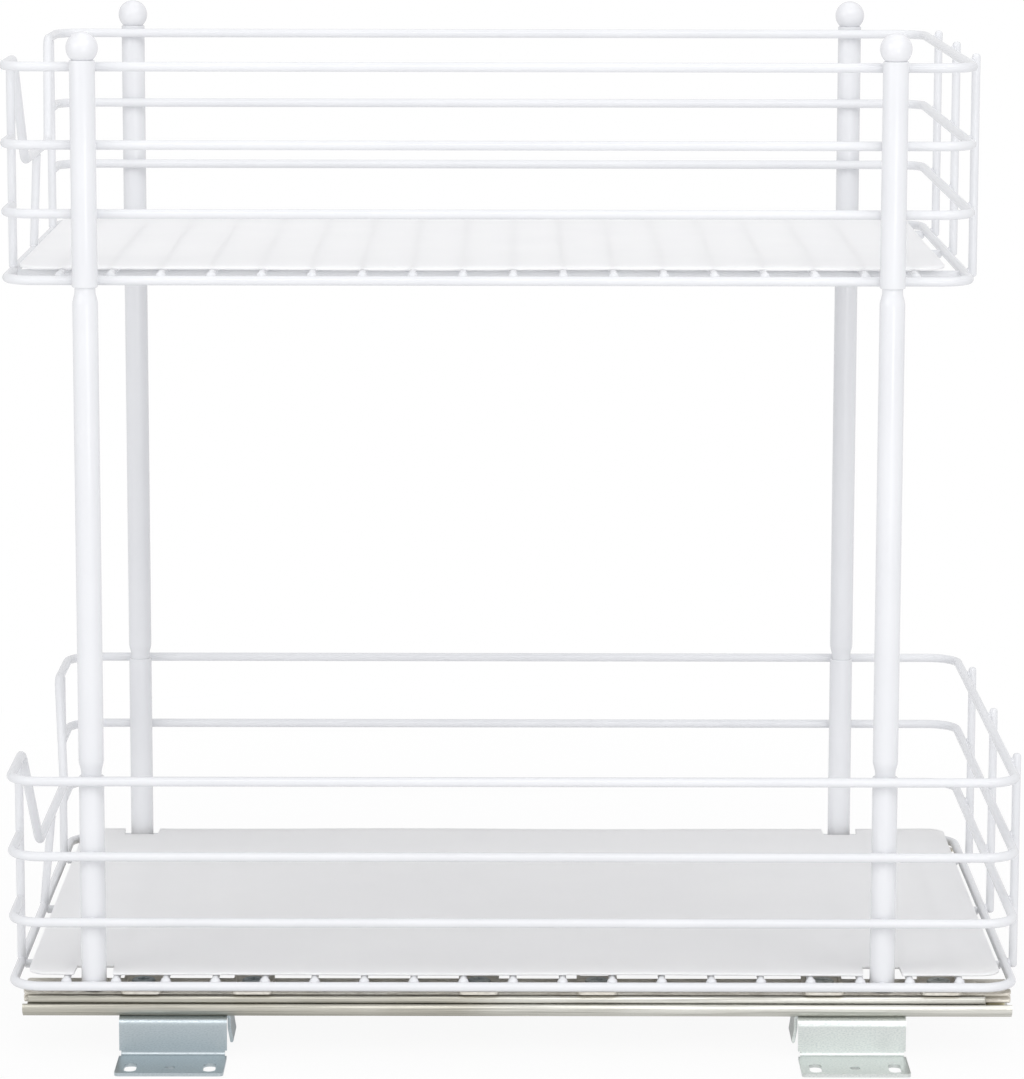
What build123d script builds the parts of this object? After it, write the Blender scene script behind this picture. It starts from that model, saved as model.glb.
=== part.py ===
"""Two tier pull-out organizer: wire baskets on a pair of ball-bearing slides.

X runs from the front of the baskets to the rear, Y across them and Z up.
The origin lies on the mounting surface, under the middle of the bounding box.
The baskets pull out toward -X.
"""
import math
import os

from build123d import *

os.makedirs("parts", exist_ok=True)

# Wire and tube stock
rail_d = 4.2
upright_d = 3.8
cross_wire_d = 3.2
weld_gap = 0.05
tube_d = 11.2
tube_wall = 1.0
neck_play = 0.05
ball_cap_d = 14.0

# Lower basket, on the centrelines of its rim
lower_length = 446.5
lower_width = 291.6
corner_r = 14.0

# Heights of the rails above the rim of either basket
low_rail_rise = 29.2
mid_rail_rise = 59.2
top_rail_rise = 93.2

# Second tier and the four posts that carry it, set in from the ends of its rim
upper_shortfall = 23.0
post_front_inset = 36.15
post_rear_inset = 35.35
tier_rise = 313.9
stub_over_rail = 1.0
sleeve_length = 98.6
neck_length = 4.5
neck_taper = 5.5
neck_insert = 12.0

# Dip in the front of each top rail
dip_depth = 47.0
dip_bend_r = 9.0
shoulder_share = 0.60
dip_floor_share = 0.41
lower_dip_lean = 4.5
upper_dip_lean = 2.0

# Uprights and floor wires
upright_place_share = 0.695
rear_upright_over = 4.0
floor_wire_drop = 1.2
cross_wire_inset = 24.3
lower_cross_count = 19
upper_cross_count = 18

# Plastic liners
liner_thickness = 1.2
liner_rest_gap = 0.05
liner_r = 9.0
liner_front_gap = 0.35
lower_liner_side_gap = 1.2
lower_liner_rear_gap = 3.65
upper_liner_front_gap = 1.0
upper_liner_side_gap = 13.2
upper_liner_rear_gap = 8.3
notch_width = 17.0
notch_inner_gap = 3.0

# Slides
slide_width = 34.0
slide_height = 10.8
slide_side_inset = 16.3
slide_front_inset = 4.65
slide_rear_inset = 0.75
slide_sheet = 1.0
slide_bend_r = 0.6
inner_bend_r = 0.55
slope_angle = 35.0
ball_d = 2.9
race_gap = 0.1
outer_ball_height = 3.9
ball_lean = 25.6
lip_angle = 55.0
middle_floor = 2.2
middle_floor_half = 11.8
middle_race_angle = 20.0
middle_lip_angle = 45.0
middle_rear_gap = 0.6
leg_start_angle = 125.0
leg_end_angle = 215.0
cage_sheet = 0.4
cage_floor_gap = 0.15
cage_floor_half = 12.5
outer_cage_lift = 1.15
outer_cage_top = 5.0
inner_cage_floor = 5.5
inner_cage_half = 12.0
inner_cage_top = 8.6
cage_ball_gap = 0.1
cage_front_inset = 103.5
cage_length = 220.0
cage_end_margin = 6.0
balls_per_row = 8
rail_end_r = 4.0

# Stop bumper at the rear of each slide
bumper_length = 9.0
bumper_width = 10.4
bumper_rear_inset = 2.0
bumper_top_gap = 0.05
bumper_r = 2.0
bumper_notch_gap = 0.5
bumper_notch_front_gap = 3.0

# Tabs welded under the lower rim and the screws through them
tab_length = 18.0
tab_thickness = 1.3
tab_inner_reach = 11.5
tab_outer_reach = 17.0
tab_curl_height = 0.9
tab_curl_width = 1.6
tab_curl_inset = 4.5
tab_corner_r = 2.5
screw_place_shares = (0.120, 0.232, 0.461, 0.581, 0.810, 0.9285)
screw_head_d = 10.6
screw_head_height = 1.4
screw_head_r = 0.9
screw_d = 4.0
screw_length = 4.6
screw_play = 0.15
recess_length = 5.2
recess_width = 1.1
recess_depth = 0.9

# Mounting brackets
bracket_length = 48.0
bracket_front_inset = 67.0
bracket_rear_inset = 71.2
bracket_sheet = 1.5
bracket_height = 18.6
bracket_top_width = 33.0
bracket_top_bend_r = 3.0
bracket_foot_bend_r = 2.2
wall_inset = 0.5
flange_reach = 29.5
flange_r = 2.0
slot_width = 5.6
slot_length = 13.0
slot_end_inset = 6.5
pilot_d = 4.6
hole_place = 20.3
relief_width = 0.9
relief_height = 3.4
lug_width = 23.0
lug_height = 12.0
lug_flare = 1.0
lug_bend_r = 0.9
rivet_d = 5.0
rivet_head_d = 7.4
rivet_head_height = 1.1
rivet_end_inset = 11.0
rivet_play = 0.02
overrun = 2.0

rail_r = rail_d / 2
upright_r = upright_d / 2
cross_r = cross_wire_d / 2
tube_r = tube_d / 2
ball_r = ball_d / 2
bore_r = tube_r - tube_wall
neck_r = bore_r - neck_play

# Levels, from the mounting surface up
slide_base_z = bracket_height
slide_top_z = slide_base_z + slide_height
tab_top_z = slide_top_z + tab_thickness
lower_z = tab_top_z + weld_gap + rail_r
upper_z = lower_z + tier_rise
cross_rise = upright_r + weld_gap + cross_r - floor_wire_drop
liner_rise = cross_rise + cross_r + liner_rest_gap

# Places along X
outside_reach = rail_r + weld_gap + upright_d
basket_x = -(outside_reach - rail_r) / 2
front_x = basket_x - lower_length / 2
lower_rear_x = basket_x + lower_length / 2
upper_rear_x = lower_rear_x - upper_shortfall
post_xs = [front_x + post_front_inset, upper_rear_x - post_rear_inset]
slide_front_x = front_x + slide_front_inset
slide_rear_x = lower_rear_x - slide_rear_inset
slide_length = slide_rear_x - slide_front_x
bumper_rear_x = slide_rear_x - bumper_rear_inset
bumper_front_x = bumper_rear_x - bumper_length
bracket_xs = [slide_front_x + bracket_front_inset, slide_rear_x - bracket_rear_inset]
screw_xs = [slide_front_x + share * slide_length for share in screw_place_shares]

# Places along Y, as half widths
lower_y = lower_width / 2
post_y = lower_y - rail_r - weld_gap - tube_r
upper_y = post_y - tube_r - weld_gap - rail_r
slide_y = lower_y - slide_side_inset

basket_places = {
    "lower": (lower_rear_x, lower_y, lower_z, lower_dip_lean, lower_cross_count),
    "upper": (upper_rear_x, upper_y, upper_z, upper_dip_lean, upper_cross_count),
}


def save(name, shape):
    """Label a finished piece and write it."""
    shape.part.label = name
    export_step(shape.part, f"parts/{name}.step")


def bend_bar(name, route, bends, diameter, closed):
    """One round bar along straight runs joined by tangent bends."""
    with BuildPart() as bar:
        with BuildLine() as path:
            FilletPolyline(*route, radius=bends, close=closed)
        start = path.wire() @ 0
        direction = path.wire() % 0
        with BuildSketch(Plane(origin=start, z_dir=direction)):
            Circle(diameter / 2)
        sweep(path=path.wire())
    save(name, bar)


def basket_rim(tier):
    """Closed bar round the floor of a basket."""
    rear_x, half_y, floor_z, _, _ = basket_places[tier]
    route = [
        (rear_x, half_y, floor_z),
        (front_x, half_y, floor_z),
        (front_x, -half_y, floor_z),
        (rear_x, -half_y, floor_z),
    ]
    bend_bar(f"{tier}_rim", route, corner_r, rail_d, True)


def side_rail(tier, level_name, rise):
    """Bar round the rear and sides whose ends meet the outer front uprights."""
    rear_x, half_y, floor_z, _, _ = basket_places[tier]
    rail_z = floor_z + rise
    end_y = upright_place_share * half_y + upright_r + weld_gap
    route = [
        (front_x, end_y, rail_z),
        (front_x, half_y, rail_z),
        (rear_x, half_y, rail_z),
        (rear_x, -half_y, rail_z),
        (front_x, -half_y, rail_z),
        (front_x, -end_y, rail_z),
    ]
    bend_bar(f"{tier}_{level_name}_rail", route, corner_r, rail_d, False)


def top_rail(tier):
    """Closed bar round the top, dipped at the front for reaching in."""
    rear_x, half_y, floor_z, dip_lean, _ = basket_places[tier]
    rail_z = floor_z + top_rail_rise
    dip_z = rail_z - dip_depth
    dip_x = front_x + dip_lean
    shoulder_y = shoulder_share * half_y
    floor_y = dip_floor_share * half_y
    route = [
        (rear_x, half_y, rail_z),
        (front_x, half_y, rail_z),
        (front_x, shoulder_y, rail_z),
        (dip_x, floor_y, dip_z),
        (dip_x, -floor_y, dip_z),
        (front_x, -shoulder_y, rail_z),
        (front_x, -half_y, rail_z),
        (rear_x, -half_y, rail_z),
    ]
    bends = [corner_r, corner_r, dip_bend_r, dip_bend_r, dip_bend_r, dip_bend_r, corner_r, corner_r]
    bend_bar(f"{tier}_top_rail", route, bends, rail_d, True)


def floor_wires(tier):
    """Three wires from the front of the rim to its rear."""
    rear_x, half_y, floor_z, _, _ = basket_places[tier]
    first_x = front_x + rail_r + weld_gap
    last_x = rear_x - rail_r - weld_gap
    wire_y = upright_place_share * half_y
    with BuildPart() as wires:
        with BuildSketch(Plane.YZ.offset(first_x)):
            with Locations(*[(side * wire_y, floor_z - floor_wire_drop) for side in (-1, 0, 1)]):
                Circle(upright_r)
        extrude(amount=last_x - first_x)
    save(f"{tier}_floor_wires", wires)


def cross_wires(tier):
    """Evenly spaced wires across the floor, welded on the floor wires."""
    rear_x, half_y, floor_z, _, count = basket_places[tier]
    wire_z = floor_z + cross_rise
    under_z = cross_rise - cross_r
    half_length = half_y - math.sqrt((rail_r + weld_gap) ** 2 - under_z**2)
    first_x = front_x + cross_wire_inset
    last_x = rear_x - cross_wire_inset
    pitch = (last_x - first_x) / (count - 1)
    with BuildPart() as wires:
        with BuildSketch(Plane.XZ):
            with Locations(*[(first_x + pitch * step, wire_z) for step in range(count)]):
                Circle(cross_r)
        extrude(amount=half_length, both=True)
    save(f"{tier}_cross_wires", wires)


def front_uprights(tier):
    """Two straight uprights under the top rail and a leaning one under its dip."""
    _, half_y, floor_z, dip_lean, _ = basket_places[tier]
    foot_z = floor_z + rail_r + weld_gap
    head_z = floor_z + top_rail_rise - rail_r - weld_gap
    dip_rise = top_rail_rise - dip_depth
    wire_y = upright_place_share * half_y
    lean = math.atan2(dip_lean, dip_rise)
    middle_length = dip_rise / math.cos(lean) - 2 * (rail_r + weld_gap)
    lean_axis = Vector(math.sin(lean), 0, math.cos(lean))
    middle_foot = Vector(front_x, 0, floor_z) + lean_axis * (rail_r + weld_gap)
    with BuildPart() as uprights:
        with BuildSketch(Plane.XY.offset(foot_z)):
            with Locations((front_x, wire_y), (front_x, -wire_y)):
                Circle(upright_r)
        extrude(amount=head_z - foot_z)
        with BuildSketch(Plane(origin=middle_foot, z_dir=lean_axis)):
            Circle(upright_r)
        extrude(amount=middle_length)
    save(f"{tier}_front_uprights", uprights)


def rear_uprights(tier):
    """Three wires with rounded ends, welded outside the rear of the rails."""
    rear_x, half_y, floor_z, _, _ = basket_places[tier]
    wire_x = rear_x + rail_r + weld_gap + upright_r
    wire_y = upright_place_share * half_y
    foot_z = floor_z - rail_r
    head_z = floor_z + top_rail_rise + rear_upright_over
    with BuildPart() as uprights:
        with BuildSketch(Plane.XY.offset(foot_z)):
            with Locations(*[(wire_x, side * wire_y) for side in (-1, 0, 1)]):
                Circle(upright_r)
        extrude(amount=head_z - foot_z)
        ends = uprights.edges().filter_by(GeomType.CIRCLE)
        fillet(ends, radius=upright_r / 2)
    save(f"{tier}_rear_uprights", uprights)


def turned_tube(name, place, profile):
    """A tube or turned piece from a profile of radius and height."""
    centre = Vector(place[0], place[1], 0)
    with BuildPart() as tube:
        with BuildSketch(Plane(origin=centre, x_dir=(1, 0, 0), z_dir=(0, -1, 0))):
            with BuildLine():
                Polyline(*profile, close=True)
            make_face()
        revolve(axis=Axis(centre, (0, 0, 1)))
    save(name, tube)


def post(name, place):
    """Stub, leg and sleeve of one post: the leg's swaged ends sit in both."""
    foot_z = lower_z - rail_r
    stub_top_z = lower_z + top_rail_rise + stub_over_rail
    sleeve_foot_z = upper_z - rail_r
    sleeve_top_z = sleeve_foot_z + sleeve_length
    leg_low_z = stub_top_z + neck_length
    leg_high_z = sleeve_foot_z - neck_length
    neck_bore = neck_r - tube_wall
    pipe = [(bore_r, foot_z), (tube_r, foot_z), (tube_r, stub_top_z), (bore_r, stub_top_z)]
    turned_tube(f"{name}_stub", place, pipe)
    leg = [
        (neck_bore, stub_top_z - neck_insert),
        (neck_r, stub_top_z - neck_insert),
        (neck_r, leg_low_z - neck_taper / 2),
        (tube_r, leg_low_z + neck_taper / 2),
        (tube_r, leg_high_z - neck_taper / 2),
        (neck_r, leg_high_z + neck_taper / 2),
        (neck_r, sleeve_foot_z + neck_insert),
        (neck_bore, sleeve_foot_z + neck_insert),
        (neck_bore, leg_high_z + neck_taper / 2),
        (bore_r, leg_high_z - neck_taper / 2),
        (bore_r, leg_low_z + neck_taper / 2),
        (neck_bore, leg_low_z - neck_taper / 2),
    ]
    turned_tube(f"{name}_leg", place, leg)
    pipe = [(bore_r, sleeve_foot_z), (tube_r, sleeve_foot_z), (tube_r, sleeve_top_z), (bore_r, sleeve_top_z)]
    turned_tube(f"{name}_sleeve", place, pipe)
    cap_r = ball_cap_d / 2
    seat_drop = math.sqrt(cap_r**2 - bore_r**2)
    cap_centre = Vector(place[0], place[1], sleeve_top_z + weld_gap + seat_drop)
    plug_foot = Vector(place[0], place[1], sleeve_top_z - neck_insert)
    with BuildPart() as cap:
        with Locations(cap_centre):
            Sphere(cap_r)
        with BuildSketch(Plane(origin=plug_foot)):
            Circle(neck_r)
        extrude(amount=cap_centre.Z - plug_foot.Z)
    save(f"{name}_ball_cap", cap)


def lower_liner():
    """Plastic floor mat with open notches for the four posts."""
    dip_face_x = front_x + lower_dip_lean + rail_r
    first_x = dip_face_x + liner_front_gap
    last_x = lower_rear_x - rail_r - lower_liner_rear_gap
    half_y = lower_y - rail_r - lower_liner_side_gap
    notch_y = post_y - tube_r - notch_inner_gap
    centre = ((first_x + last_x) / 2, 0)
    with BuildPart() as liner:
        with BuildSketch(Plane.XY.offset(lower_z + liner_rise)):
            with Locations(centre):
                RectangleRounded(last_x - first_x, 2 * half_y, liner_r)
            for notch_x in post_xs:
                for side_y in (-1, 1):
                    notch_depth = half_y + overrun - notch_y
                    with Locations((notch_x, side_y * (notch_y + notch_depth / 2))):
                        Rectangle(notch_width, notch_depth, mode=Mode.SUBTRACT)
        extrude(amount=liner_thickness)
    save("lower_liner", liner)


def upper_liner():
    """Plain plastic floor mat of the upper basket."""
    dip_face_x = front_x + upper_dip_lean + rail_r
    first_x = dip_face_x + upper_liner_front_gap
    last_x = upper_rear_x - rail_r - upper_liner_rear_gap
    half_y = upper_y - rail_r - upper_liner_side_gap
    with BuildPart() as liner:
        with BuildSketch(Plane.XY.offset(upper_z + liner_rise)):
            with Locations(((first_x + last_x) / 2, 0)):
                RectangleRounded(last_x - first_x, 2 * half_y, liner_r)
        extrude(amount=liner_thickness)
    save("upper_liner", liner)


# Section of a slide, across it from its middle and up from its underside
race_r = ball_r + race_gap
race_line_r = race_r + slide_sheet / 2
outer_ball_y = slide_width / 2 - slide_sheet - race_r
inner_ball_y = outer_ball_y - 2 * race_line_r * math.sin(math.radians(ball_lean))
inner_ball_height = outer_ball_height + 2 * race_line_r * math.cos(math.radians(ball_lean))
plate_line = slide_height - slide_sheet / 2


def slide_plane(side, start_x):
    """Section plane of a slide, seen along the way that it runs."""
    return Plane(origin=(start_x, side * slide_y, slide_base_z), x_dir=(0, 1, 0), z_dir=(1, 0, 0))


def outer_rail(name, side):
    """Fixed rail, riveted on the brackets, with its races turned in."""
    slope = math.radians(slope_angle)
    slope_rise = outer_ball_height - race_line_r * math.sin(math.radians(lip_angle)) - slide_sheet / 2
    with BuildPart() as rail:
        with BuildSketch(slide_plane(side, slide_front_x)):
            with BuildLine():
                race = CenterArc((outer_ball_y, outer_ball_height), race_line_r, -lip_angle, 2 * lip_angle)
                floor_half = (race @ 0).X - slope_rise / math.tan(slope)
                bend = (floor_half, slide_sheet / 2)
                FilletPolyline((0, slide_sheet / 2), bend, race @ 0, radius=slide_bend_r)
                mirror(about=Plane.YZ)
                offset(amount=slide_sheet / 2, side=Side.BOTH)
            make_face()
        extrude(amount=slide_length)
        with BuildSketch(Plane.XY.offset(slide_base_z)):
            with Locations(*[(x, side * slide_y) for x in rivet_xs]):
                Circle(rivet_d / 2 + rivet_play)
        extrude(amount=slide_sheet, mode=Mode.SUBTRACT)
    save(f"{name}_outer_rail", rail)


def middle_rail(name, side):
    """Rail between the two rows of balls, which travels half as far as the basket."""
    first_x = slide_front_x + bumper_rear_inset
    last_x = bumper_front_x - middle_rear_gap
    turn_angle = 90 + ball_lean
    with BuildPart() as rail:
        with BuildSketch(slide_plane(side, first_x)):
            with BuildLine():
                low_start = 180 + middle_race_angle
                low_centre = (outer_ball_y, outer_ball_height)
                low_race = CenterArc(low_centre, race_line_r, low_start, turn_angle - low_start)
                bend = (middle_floor_half, middle_floor)
                FilletPolyline((0, middle_floor), bend, low_race @ 0, radius=slide_bend_r)
                high_start = turn_angle - 180
                high_centre = (inner_ball_y, inner_ball_height)
                CenterArc(high_centre, race_line_r, high_start, middle_lip_angle - high_start)
                mirror(about=Plane.YZ)
                offset(amount=slide_sheet / 2, side=Side.BOTH)
            make_face()
        extrude(amount=last_x - first_x)
        with BuildSketch(Plane.XY.offset(slide_base_z)):
            with Locations(((first_x + last_x) / 2, side * slide_y)):
                RectangleRounded(last_x - first_x, slide_width, rail_end_r)
        extrude(amount=slide_height, mode=Mode.INTERSECT)
    save(f"{name}_middle_rail", rail)


def inner_rail(name, side):
    """Rail under the basket's tabs, notched at the rear for the stop bumper."""
    notch_front_x = bumper_front_x - bumper_notch_front_gap
    notch_length = slide_rear_x + overrun - notch_front_x
    notch_half = bumper_width / 2 + bumper_notch_gap
    with BuildPart() as rail:
        with BuildSketch(slide_plane(side, slide_front_x)):
            with BuildLine():
                leg_sweep = leg_end_angle - leg_start_angle
                race = CenterArc((inner_ball_y, inner_ball_height), race_line_r, leg_start_angle, leg_sweep)
                leg_rise = plate_line - (race @ 0).Y
                plate_half = (race @ 0).X + leg_rise * math.tan(math.radians(180 - leg_start_angle))
                FilletPolyline((0, plate_line), (plate_half, plate_line), race @ 0, radius=inner_bend_r)
                mirror(about=Plane.YZ)
                offset(amount=slide_sheet / 2, side=Side.BOTH)
            make_face()
        extrude(amount=slide_length)
        with BuildSketch(Plane.XY.offset(slide_base_z)):
            with Locations((slide_front_x + slide_length / 2, side * slide_y)):
                RectangleRounded(slide_length, 2 * plate_half, rail_end_r)
        extrude(amount=slide_height, mode=Mode.INTERSECT)
        with BuildSketch(Plane.XY.offset(slide_base_z)):
            with Locations((notch_front_x + notch_length / 2, side * slide_y)):
                Rectangle(notch_length, 2 * notch_half)
        extrude(amount=slide_height, mode=Mode.SUBTRACT)
        with BuildSketch(Plane.XY.offset(slide_base_z)):
            with Locations(*[(x, side * slide_y) for x in screw_xs]):
                Circle(screw_d / 2 + screw_play)
        extrude(amount=slide_height, mode=Mode.SUBTRACT)
    save(f"{name}_inner_rail", rail)


def ball_places(side, ball_y, ball_height):
    """Centres of the two rows of balls in one cage."""
    first_x = slide_front_x + cage_front_inset + cage_end_margin
    pitch = (cage_length - 2 * cage_end_margin) / (balls_per_row - 1)
    return [
        (first_x + pitch * step, side * slide_y + row * ball_y, slide_base_z + ball_height)
        for step in range(balls_per_row)
        for row in (-1, 1)
    ]


def balls(name, places):
    """Two rows of steel balls."""
    with BuildPart() as row:
        with Locations(*places):
            Sphere(ball_r)
    save(name, row)


def cage(name, side, half_section, places):
    """Thin sheet channel with a round pocket at each ball."""
    with BuildPart() as channel:
        with BuildSketch(slide_plane(side, slide_front_x + cage_front_inset)):
            with BuildLine():
                FilletPolyline(*half_section, radius=cage_sheet)
                mirror(about=Plane.YZ)
                offset(amount=cage_sheet / 2, side=Side.BOTH)
            make_face()
        extrude(amount=cage_length)
        with Locations(*places):
            Sphere(ball_r + cage_ball_gap, mode=Mode.SUBTRACT)
    save(name, channel)


def bumper(name, side):
    """Plastic stop at the rear of a slide, standing on its fixed rail."""
    height = slide_height - slide_sheet - bumper_top_gap
    with BuildPart() as stop:
        with BuildSketch(Plane.XY.offset(slide_base_z + slide_sheet)):
            with Locations(((bumper_front_x + bumper_rear_x) / 2, side * slide_y)):
                RectangleRounded(bumper_length, bumper_width, bumper_r)
        extrude(amount=height)
    save(f"{name}_bumper", stop)


def tabs(name, side):
    """Plates welded under the lower rim, each with two curled edges."""
    first_y = slide_y - tab_inner_reach
    last_y = slide_y + tab_outer_reach
    curl_last_y = lower_y - tab_curl_inset
    with BuildPart() as plates:
        with BuildSketch(Plane.XY.offset(slide_top_z)):
            with Locations(*[(x, side * (first_y + last_y) / 2) for x in screw_xs]):
                RectangleRounded(tab_length, last_y - first_y, tab_corner_r)
            with Locations(*[(x, side * slide_y) for x in screw_xs]):
                Circle(screw_d / 2 + screw_play, mode=Mode.SUBTRACT)
        extrude(amount=tab_thickness)
        curl_xs = [x + edge * (tab_length - tab_curl_width) / 2 for x in screw_xs for edge in (-1, 1)]
        curl_first_y = first_y + tab_corner_r
        with BuildSketch(Plane.XY.offset(tab_top_z)):
            with Locations(*[(x, side * (curl_first_y + curl_last_y) / 2) for x in curl_xs]):
                Rectangle(tab_curl_width, curl_last_y - curl_first_y)
        extrude(amount=tab_curl_height)
    save(f"{name}_tabs", plates)


def screws(name, side):
    """Pan head screws with a crossed recess."""
    with BuildPart() as group:
        with BuildSketch(Plane.XY.offset(tab_top_z)):
            with Locations(*[(x, side * slide_y) for x in screw_xs]):
                Circle(screw_head_d / 2)
        extrude(amount=screw_head_height)
        rims = group.edges().filter_by(GeomType.CIRCLE).group_by(Axis.Z)[-1]
        fillet(rims, radius=screw_head_r)
        with BuildSketch(Plane.XY.offset(tab_top_z - screw_length)):
            with Locations(*[(x, side * slide_y) for x in screw_xs]):
                Circle(screw_d / 2)
        extrude(amount=screw_length)
        with BuildSketch(Plane.XY.offset(tab_top_z + screw_head_height - recess_depth)):
            with Locations(*[(x, side * slide_y) for x in screw_xs]):
                Rectangle(recess_length, recess_width)
                Rectangle(recess_width, recess_length)
        extrude(amount=recess_depth, mode=Mode.SUBTRACT)
    save(f"{name}_screws", group)


# Bracket places, outward from the middle of a slide
wall_y = slide_width / 2 - wall_inset - bracket_sheet / 2
slot_reach = bracket_length / 2 - slot_end_inset
rivet_reach = bracket_length / 2 - rivet_end_inset
rivet_xs = [x + step * rivet_reach for x in bracket_xs for step in (-1, 1)]


def bracket(name, side, centre_x, lug_side):
    """Folded sheet bracket: shelf under the slide, wall, slotted floor flange and side lug."""
    first_x = centre_x - bracket_length / 2
    shelf_line = bracket_height - bracket_sheet / 2
    shelf_end_y = slide_width / 2 - wall_inset - bracket_top_width
    flange_end_y = wall_y + bracket_sheet / 2 + flange_reach
    section = [
        (shelf_end_y - overrun, shelf_line),
        (wall_y, shelf_line),
        (wall_y, bracket_sheet / 2),
        (flange_end_y + overrun, bracket_sheet / 2),
    ]
    slide_edge = side * slide_y
    hole_y = slide_edge + side * (wall_y + bracket_sheet / 2 + hole_place)
    with BuildPart() as piece:
        with BuildSketch(Plane(origin=(first_x, slide_edge, 0), x_dir=(0, 1, 0), z_dir=(1, 0, 0))):
            with BuildLine():
                FilletPolyline(
                    *[(side * across, up) for across, up in section],
                    radius=[bracket_top_bend_r, bracket_foot_bend_r],
                )
                offset(amount=bracket_sheet / 2, side=Side.BOTH)
            make_face()
        extrude(amount=bracket_length)
        with BuildSketch(Plane.XY):
            with Locations((centre_x, slide_edge + side * (shelf_end_y + flange_end_y) / 2)):
                RectangleRounded(bracket_length, flange_end_y - shelf_end_y, flange_r)
        extrude(amount=bracket_height, mode=Mode.INTERSECT)
        with BuildSketch(Plane.XY):
            with Locations((centre_x - slot_reach, hole_y), (centre_x + slot_reach, hole_y)):
                SlotOverall(slot_length, slot_width, rotation=90)
            with Locations((centre_x, hole_y)):
                Circle(pilot_d / 2)
        extrude(amount=bracket_sheet, mode=Mode.SUBTRACT)
        with BuildSketch(Plane.XY.offset(bracket_height - bracket_sheet)):
            with Locations(*[(x, slide_edge) for x in rivet_xs]):
                Circle(rivet_d / 2 + rivet_play)
        extrude(amount=bracket_sheet, mode=Mode.SUBTRACT)
        relief_y = slide_edge + side * (wall_y + bracket_sheet / 2)
        with BuildSketch(Plane.XY):
            with Locations(*[(centre_x + edge * bracket_length / 2, relief_y) for edge in (-1, 1)]):
                Rectangle(2 * relief_width, relief_height)
        extrude(amount=relief_height, mode=Mode.SUBTRACT)
        lug_edge_x = centre_x + lug_side * bracket_length / 2
        lug_line_x = lug_edge_x + lug_side * lug_bend_r
        lug_section = [
            (lug_edge_x - lug_side * bracket_sheet, shelf_line),
            (lug_line_x, shelf_line),
            (lug_line_x, bracket_height - lug_height / 2),
            (lug_line_x + lug_side * lug_flare, bracket_height - lug_height),
        ]
        lug_first_y = slide_edge - lug_width / 2
        with BuildSketch(Plane(origin=(0, lug_first_y + lug_width, 0), x_dir=(1, 0, 0), z_dir=(0, -1, 0))):
            with BuildLine():
                FilletPolyline(*lug_section, radius=lug_bend_r)
                offset(amount=bracket_sheet / 2, side=Side.BOTH)
            make_face()
        extrude(amount=lug_width)
    save(name, piece)


def rivets():
    """Rivets that fasten the fixed rails on the brackets."""
    places = [(x, side * slide_y) for x in rivet_xs for side in (-1, 1)]
    shelf_under_z = bracket_height - bracket_sheet
    with BuildPart() as group:
        with BuildSketch(Plane.XY.offset(shelf_under_z - rivet_head_height)):
            with Locations(*places):
                Circle(rivet_head_d / 2)
        extrude(amount=rivet_head_height)
        with BuildSketch(Plane.XY.offset(shelf_under_z)):
            with Locations(*places):
                Circle(rivet_d / 2)
        extrude(amount=bracket_sheet + slide_sheet)
    save("bracket_rivets", group)


for tier in basket_places:
    basket_rim(tier)
    side_rail(tier, "low", low_rail_rise)
    side_rail(tier, "mid", mid_rail_rise)
    top_rail(tier)
    floor_wires(tier)
    cross_wires(tier)
    front_uprights(tier)
    rear_uprights(tier)

for side_name, side in (("near", -1), ("far", 1)):
    for end_name, end, post_x, bracket_x in (
        ("front", -1, post_xs[0], bracket_xs[0]),
        ("rear", 1, post_xs[1], bracket_xs[1]),
    ):
        post(f"{side_name}_{end_name}", (post_x, side * post_y))
        bracket(f"{side_name}_{end_name}_bracket", side, bracket_x, -end)

lower_liner()
upper_liner()

outer_cage_line = slide_sheet + cage_floor_gap + cage_sheet / 2
outer_cage_section = [
    (0, outer_cage_line),
    (cage_floor_half, outer_cage_line),
    (outer_ball_y, outer_cage_line + outer_cage_lift),
    (outer_ball_y, outer_cage_top),
]
inner_cage_section = [
    (0, inner_cage_floor),
    (inner_cage_half, inner_cage_floor),
    (inner_cage_half, inner_cage_top),
]

for side_name, side in (("near", -1), ("far", 1)):
    outer_places = ball_places(side, outer_ball_y, outer_ball_height)
    inner_places = ball_places(side, inner_ball_y, inner_ball_height)
    outer_rail(side_name, side)
    cage(f"{side_name}_outer_cage", side, outer_cage_section, outer_places)
    balls(f"{side_name}_outer_balls", outer_places)
    middle_rail(side_name, side)
    cage(f"{side_name}_inner_cage", side, inner_cage_section, inner_places)
    balls(f"{side_name}_inner_balls", inner_places)
    inner_rail(side_name, side)
    bumper(side_name, side)
    tabs(side_name, side)
    screws(side_name, side)

rivets()
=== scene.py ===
"""Finished surfaces and studio for a two tier pull-out wire organizer.

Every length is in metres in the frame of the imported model: X from the front of
the baskets to the rear, Y away from the near side, Z up from the cabinet floor.
"""
import math

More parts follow.
